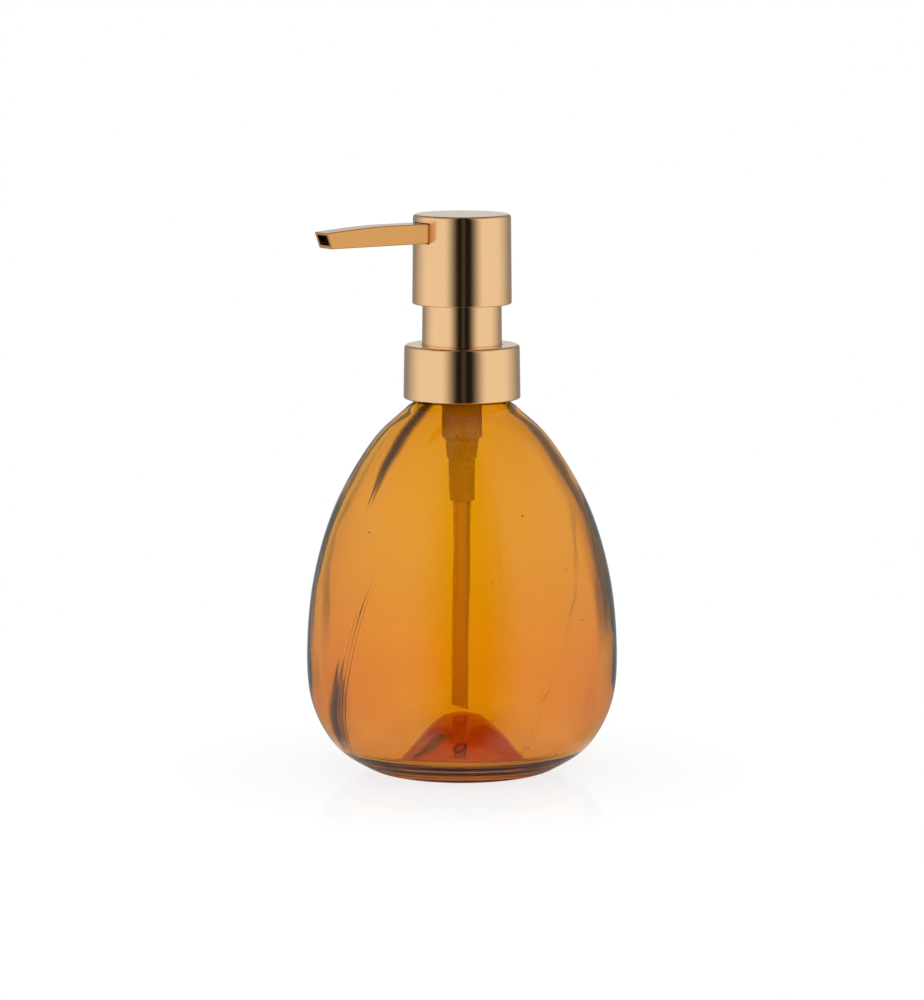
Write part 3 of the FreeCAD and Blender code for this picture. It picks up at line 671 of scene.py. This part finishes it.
# The mould seams: a pair of raised lines on each side, which lean near the foot of the bottle.
SEAM_ANGLE = math.radians(98.0)
SEAM_LEAN = 0.28                # sideways for each unit of height
SEAM_LEVEL = 35.0 * MM
SEAM_SHIFT = 0.9 * MM
SEAM_HALF_GAP = 0.7 * MM
SEAM_HEIGHT = 0.05 * MM
# Painted shade: dark streaks beside one seam, at the shoulder and at the heel, that stand for dark
# surroundings refracted in the glass.
SHOULDER_SHADE_STREAK = 3.0 * MM
HEEL_SHADE_STREAK = 4.6 * MM
SHADE_STREAK_OFFSET = 2.8 * MM          # from the seam, low on the bottle
SHADE_STREAK_WAVER = 4.0 * MM


def bottle_outline(glass):
    """The outline from under the punt, up the outside, over the rim and down the inside.

    It gives the outline, the row where the inside starts and the row where it reaches the floor.
    """
    low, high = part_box("glass_bottle")
    widest = high[0]
    rim = high[2]
    foot = rim - NECK_HEIGHT
    egg = [(share_r * widest, share_z * foot) for share_r, share_z in EGG]
    line = Outline().to(0.0, PUNT_HEIGHT)
    line.through([(share_r * RING_INNER, share_z * PUNT_HEIGHT) for share_r, share_z in PUNT], 6)
    line.through([(RING_INNER + 0.3 * MM, 0.25 * MM), (0.5 * (RING_INNER + RING_OUTER), 0.0)], 4)
    line.through([(RING_OUTER + 0.3 * MM, 0.12 * MM)] + egg, CURVE_STEPS)
    line.straight(NECK_RADIUS, foot, 3)
    line.straight(NECK_RADIUS, rim - RIM_ROUND, 46)
    line.corner(NECK_RADIUS - RIM_ROUND, rim, NECK_RADIUS - RIM_ROUND, rim - RIM_ROUND)
    line.straight(NECK_BORE + RIM_ROUND, rim, 3)
    line.corner(NECK_BORE, rim - RIM_ROUND, NECK_BORE + RIM_ROUND, rim - RIM_ROUND)
    inner_row = len(line.points)
    line.straight(NECK_BORE, foot - 0.5 * MM, 8)
    inside = []
    threes = list(zip(egg[1:], egg[2:], egg[3:] + [(NECK_RADIUS, foot)]))
    for before, here, after in reversed(threes):
        along = Vector((after[0] - before[0], after[1] - before[1])).normalized()
        share = here[1] / foot
        wall = glass.heel_wall + (glass.wall - glass.heel_wall) * min(1.0, share * 1.6)
        inside.append((here[0] - along.y * wall, here[1] + along.x * wall))
    inside += [(share * widest, FLOOR_HEIGHT + rise) for share, rise in BEND]
    line.through(inside, CURVE_STEPS)
    last_inner_row = len(line.points) - CURVE_STEPS
    line.through([(share_r * widest, FLOOR_HEIGHT + share_z * (DOME_HEIGHT - FLOOR_HEIGHT))
                  for share_r, share_z in FLOOR], 8)
    return line, inner_row, last_inner_row


class DISPENSER_OT_bottle(bpy.types.Operator):
    """Turns the amber glass bottle and scatters the seeds in its wall"""

    bl_idname = "dispenser.bottle"
    bl_label = "Glass bottle"

    def execute(self, context):
        glass = context.scene.dispenser_glass
        line, inner_row, last_inner_row = bottle_outline(glass)
        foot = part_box("glass_bottle")[1][2] - NECK_HEIGHT
        values = dict(THREAD)
        values["Thread Start"] = foot + THREAD["Thread Start"]
        values.update({
            "Segments": glass.segments, "Unevenness": glass.unevenness, "Calm Height": foot,
            "Inner Row": inner_row, "Last Inner Row": last_inner_row, "Neck Radius": NECK_RADIUS,
            "Material": amber_glass(glass)})
        bottle = grown("amber_bottle", line.mesh("bottle_outline"), turned_tree(), values)
        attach(bottle, "bottle")
        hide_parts("glass_bottle")

        outside = bottle.data.copy()
        seeds = grown("glass_seeds", outside, seeds_tree(), {
            "Density": glass.seeds * 100.0, "Radius": glass.seed_radius, "Depth": glass.wall / 2,
            "Seed": 11, "Top": foot, "Material": seed_material()})
        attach(seeds, "bottle")
        return {"FINISHED"}


class DISPENSER_OT_plating(bpy.types.Operator):
    """Plates the collar, sleeve, head and spout"""

    bl_idname = "dispenser.plating"
    bl_label = "Copper plating"

    def execute(self, context):
        plating = context.scene.dispenser_plating
        give(copper_plating("copper_plating", plating.colour, plating),
             "collar_shell", "neck_sleeve", "head_shell")
        # Painted shade: the spout gets the darker copy of the plating colour.
        give(copper_plating("spout_plating_shaded", plating.spout_shaded_colour, plating), "spout")
        return {"FINISHED"}


class DISPENSER_OT_plastics(bpy.types.Operator):
    """Gives the mouldings of the pump their plastics"""

    bl_idname = "dispenser.plastics"
    bl_label = "Moulded plastics"

    def execute(self, context):
        plastic = context.scene.dispenser_plastic
        white = moulded_plastic("white_moulding", plastic.white, plastic.grain, 0.32)
        give(white, "closure_liner", "retainer", "cup_washer", "plunger_core", "stem",
             "head_core")
        # Painted shade: the duct is near black for the shadow in the spout's mouth.
        give(moulded_plastic("mouth_shade_moulding", plastic.dark, plastic.grain, 0.35), "nozzle_liner")
        natural = moulded_plastic("natural_moulding", plastic.natural, plastic.grain, 0.3, 0.4,
                                  plastic.clearness)
        give(natural, "pump_housing", "valve_cage")
        give(moulded_plastic("drawn_tube", plastic.natural, plastic.grain, 0.22, 0.3,
                             plastic.tube_clearness), "dip_tube")
        return {"FINISHED"}


class DISPENSER_OT_seals(bpy.types.Operator):
    """Gives the gasket and the piston their soft plastics"""

    bl_idname = "dispenser.seals"
    bl_label = "Gasket and piston"

    def execute(self, context):
        plastic = context.scene.dispenser_plastic
        give(foamed_gasket(plastic.soft, plastic.grain), "neck_gasket")
        give(moulded_plastic("soft_piston", plastic.soft, plastic.grain, 0.5, 0.3), "piston_seal")
        return {"FINISHED"}


class DISPENSER_OT_steel(bpy.types.Operator):
    """Winds the return spring and polishes the valve balls"""

    bl_idname = "dispenser.steel"
    bl_label = "Spring and balls"

    def execute(self, context):
        steel = context.scene.dispenser_steel
        wire = stainless_steel("spring_wire", steel.colour, 0.24, 6.0)
        give(stainless_steel("steel_ball", steel.colour, 0.12, 1.0), "inlet_ball", "outlet_ball")
        low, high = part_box("return_spring")
        spring = grown("wound_spring", bpy.data.meshes.new("spring_start"), spring_tree(), {
            "Turns": steel.turns, "Closed Turns": steel.closed_turns, "Wire": steel.wire,
            "Radius": (high[1] - low[1] - steel.wire) / 2, "Bottom": low[2], "Top": high[2],
            "Material": wire})
        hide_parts("return_spring")
        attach(spring, "pump_body")
        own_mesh(spring)
        return {"FINISHED"}


# ---------------------------------------------------------------- the studio
# Brightness of the surroundings for each kind of ray. The eye sees plain white.
BOX_LIGHT = 0.93            # the softboxes, in what the plating mirrors
BOX_MIDDLE = 4.5            # degrees from the camera to the middle of the dark gap
DARK_LIGHT = 0.015
STRIP_LIGHT = 0.045         # the faint strip inside the dark gap
THROUGH_LIGHT = 0.96        # what is seen through the glass
FLAG_SHADE = 0.8            # how much each dark flag takes from it
FRONT_LIGHT = 0.6           # what the camera's side adds to it
FLOOR_LIGHT = 1.15          # what falls on matt surfaces


def ray_kinds(tree):
    """Which kind of ray is being shaded: camera, diffuse, mirrored or let through."""
    node = tree.add("ShaderNodeLightPath").socket.node
    names = ("Is Camera Ray", "Is Diffuse Ray", "Is Reflection Ray", "Is Transmission Ray")
    return [Value(tree, node.outputs[name]) for name in names]


def floor_material(radius):
    """A pale floor, lit from inside like a light table, that mirrors what stands on it."""
    material, tree = material_tree("pale_floor")
    place = tree.add("ShaderNodeTexCoord", out="Object")
    away = tree.add("ShaderNodeVectorMath", {0: place}, out="Value", operation="LENGTH")
    mottle = tree.noise(place, 60.0, 3.0)
    matt = tree.add("ShaderNodeBsdfDiffuse", {
        "Color": tree.shade(mottle, (0.87, 0.87, 0.87), (0.89, 0.89, 0.89))})
    glow = tree.add("ShaderNodeEmission", {"Color": (1.0, 1.0, 1.0, 1.0), "Strength": 1.03})
    is_camera, _, is_mirror, is_through = ray_kinds(tree)
    lit = tree.add("ShaderNodeMixShader", {
        0: is_camera * 0.85 + is_through * 0.6, 1: matt, 2: glow})
    gloss = tree.add("ShaderNodeBsdfGlossy", {"Color": (1.0, 1.0, 1.0, 1.0), "Roughness": 0.05})
    polish = (1 - tree.smooth(away, radius * 0.16, radius * 0.36)) * 0.08
    top = tree.add("ShaderNodeMixShader", {0: polish, 1: lit, 2: gloss})
    clear = tree.add("ShaderNodeBsdfTransparent")
    unseen = is_mirror * tree.smooth(away, radius * 0.13, radius * 0.17)
    fade = tree.math("MAXIMUM", unseen, tree.smooth(away, radius * 0.35, radius * 0.95))
    finish_material(tree, tree.add("ShaderNodeMixShader", {0: fade, 1: top, 2: clear}))
    return material


def studio_world(studio):
    """White all round for the eye and for the floor, and softboxes for what mirrors them.

    Angles are in degrees round the bottle, from the studio's azimuth, where there is a dark gap.
    The boxes stand to the left and right of it, the far corners are dim and the backdrop is white.
    Seen through the glass it is white, but for two dark flags that draw the outline of the glass.
    """
    world = bpy.data.worlds.new("studio")
    world.use_nodes = True
    world.node_tree.nodes.clear()
    world.cycles.sampling_method = "NONE"
    tree = Tree(world.node_tree)
    east, north, up = tree.split(tree.add("ShaderNodeTexCoord", out="Generated"))
    sine = math.sin(studio.azimuth)
    cosine = math.cos(studio.azimuth)
    towards = east * sine - north * cosine
    right = east * cosine + north * sine
    angle = tree.math("ARCTAN2", right, towards) * (180 / math.pi)
    gap = math.degrees(studio.dark_gap)
    off = abs(angle)

    boxes = tree.smooth(abs(angle - BOX_MIDDLE), gap * 0.4, gap * 1.6)
    strip = tree.smooth(angle, -3.0, 2.0) * (1 - tree.smooth(angle, 6.0, 9.0))
    dim = tree.smooth(off, 85.0, 150.0) * 0.68
    backdrop = tree.smooth(off, 168.0, 176.0) * 0.38
    ceiling = 1 - tree.smooth(up, 0.35, 1.1) * 0.75
    table = tree.smooth(up, -0.97, -0.86)
    mirrored = boxes * (1 - dim + backdrop) * ceiling * table * BOX_LIGHT
    mirrored = DARK_LIGHT + strip * STRIP_LIGHT + mirrored

    left_flag = tree.smooth(angle, -165.0, -162.0) * (1 - tree.smooth(angle, -157.0, -154.0))
    right_flag = tree.smooth(angle, 122.0, 130.0) * (1 - tree.smooth(angle, 161.0, 166.0))
    front = 1 - tree.smooth(off, 60.0, 100.0)
    through = THROUGH_LIGHT - (left_flag + right_flag) * FLAG_SHADE + front * FRONT_LIGHT

    is_camera, is_diffuse, is_mirror, _ = ray_kinds(tree)
    strength = through + is_mirror * (mirrored - through)
    strength = strength + is_diffuse * (FLOOR_LIGHT - strength)
    strength = strength + is_camera * (1.0 - strength)
    background = tree.add("ShaderNodeBackground", {
        "Color": (1.0, 1.0, 1.0, 1.0), "Strength": strength})
    tree.add("ShaderNodeOutputWorld", {"Surface": background})
    return world


def add_floor(studio):
    """A round floor under the bottle."""
    mesh = bpy.data.meshes.new("floor")
    work = bmesh.new()
    bmesh.ops.create_circle(work, cap_ends=True, segments=96, radius=studio.floor_radius)
    bmesh.ops.translate(work, verts=work.verts, vec=(0.0, 0.0, -0.02 * MM))
    work.to_mesh(mesh)
    work.free()
    mesh.materials.append(floor_material(studio.floor_radius))
    floor = bpy.data.objects.new("floor", mesh)
    bpy.context.scene.collection.objects.link(floor)


def add_camera(studio):
    """A long lens a little above the head, looking down at the middle of the dispenser."""
    camera = bpy.data.objects.new("camera", bpy.data.cameras.new("camera"))
    bpy.context.scene.collection.objects.link(camera)
    camera.data.lens = studio.lens
    camera.data.clip_end = 20.0
    camera.location = (studio.distance * math.sin(studio.azimuth),
                       -studio.distance * math.cos(studio.azimuth), studio.height)
    look = Vector((0.0, 0.0, studio.look_height)) - camera.location
    camera.rotation_euler = look.to_track_quat("-Z", "Y").to_euler()
    bpy.context.scene.camera = camera


class DISPENSER_OT_studio(bpy.types.Operator):
    """Lays the floor, lights the studio and sets the camera"""

    bl_idname = "dispenser.studio"
    bl_label = "Studio"

    def execute(self, context):
        studio = context.scene.dispenser_studio
        context.scene.world = studio_world(studio)
        context.scene.view_settings.view_transform = "Standard"
        add_floor(studio)
        add_camera(studio)
        return {"FINISHED"}


# ---------------------------------------------------------------- the add-on
class DISPENSER_PT_panel(bpy.types.Panel):
    """Shows the dispenser's settings and the buttons that build its parts"""

    bl_idname = "DISPENSER_PT_panel"
    bl_label = "Soap dispenser"
    bl_space_type = "VIEW_3D"
    bl_region_type = "UI"
    bl_category = "Dispenser"

    def draw(self, context):
        for name, (group, operators) in SECTIONS.items():
            box = self.layout.box()
            settings = getattr(context.scene, name)
            for key in group.__annotations__:
                box.prop(settings, key)
            for operator in operators:
                box.operator(operator.bl_idname)


SECTIONS = {
    "dispenser_glass": (GlassSettings, [DISPENSER_OT_bottle]),
    "dispenser_plating": (PlatingSettings, [DISPENSER_OT_plating]),
    "dispenser_plastic": (PlasticSettings, [DISPENSER_OT_plastics, DISPENSER_OT_seals]),
    "dispenser_steel": (SteelSettings, [DISPENSER_OT_steel]),
    "dispenser_studio": (StudioSettings, [DISPENSER_OT_studio]),
}


def register():
    for name, (group, operators) in SECTIONS.items():
        bpy.utils.register_class(group)
        setattr(bpy.types.Scene, name, bpy.props.PointerProperty(type=group))
        for operator in operators:
            bpy.utils.register_class(operator)
    bpy.utils.register_class(DISPENSER_PT_panel)


def unregister():
    bpy.utils.unregister_class(DISPENSER_PT_panel)
    for name, (group, operators) in SECTIONS.items():
        for operator in operators:
            bpy.utils.unregister_class(operator)
        delattr(bpy.types.Scene, name)
        bpy.utils.unregister_class(group)


def plain(corners):
    """A box's two corners as plain lists of numbers."""
    return [[round(float(part), 6) for part in corner] for corner in corners]


def main():
    register()
    bpy.ops.dispenser.bottle()
    bpy.ops.dispenser.plating()
    bpy.ops.dispenser.plastics()
    bpy.ops.dispenser.seals()
    bpy.ops.dispenser.steel()
    bpy.ops.dispenser.studio()


if __name__ == "__main__":
    main()
